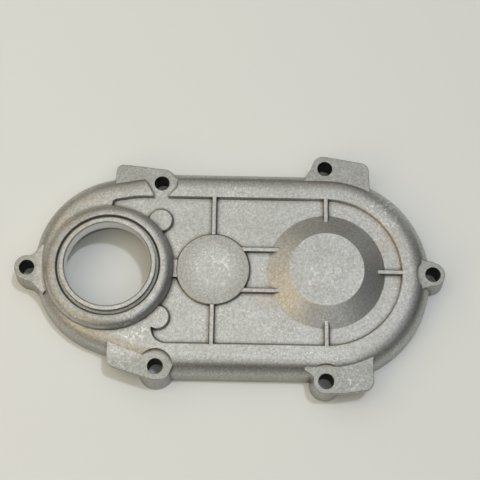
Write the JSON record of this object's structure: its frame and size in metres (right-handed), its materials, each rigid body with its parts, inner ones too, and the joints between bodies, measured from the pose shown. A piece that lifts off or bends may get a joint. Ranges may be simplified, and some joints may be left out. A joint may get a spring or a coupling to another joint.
{
  "type": "gearbox cover",
  "caption": "Long oval die-cast gearbox cover with a collared shaft bore, a cone, a round pad, stiffening ribs and bolt lugs with thin ears.",
  "frame": {"origin": "on the shaft bore's axis in the plane of the mating face", "axes": "+X along the line of the shafts towards the cone, +Z out of the cover's front, away from the gear case"},
  "size_m": [0.2037, 0.1178, 0.0208],
  "materials": {
    "cast_aluminium": "as cast and shot blasted, with machined bores"
  },
  "bodies": {
    "root": {"gearbox_cover": "cast_aluminium"}
  },
  "joints": []
}
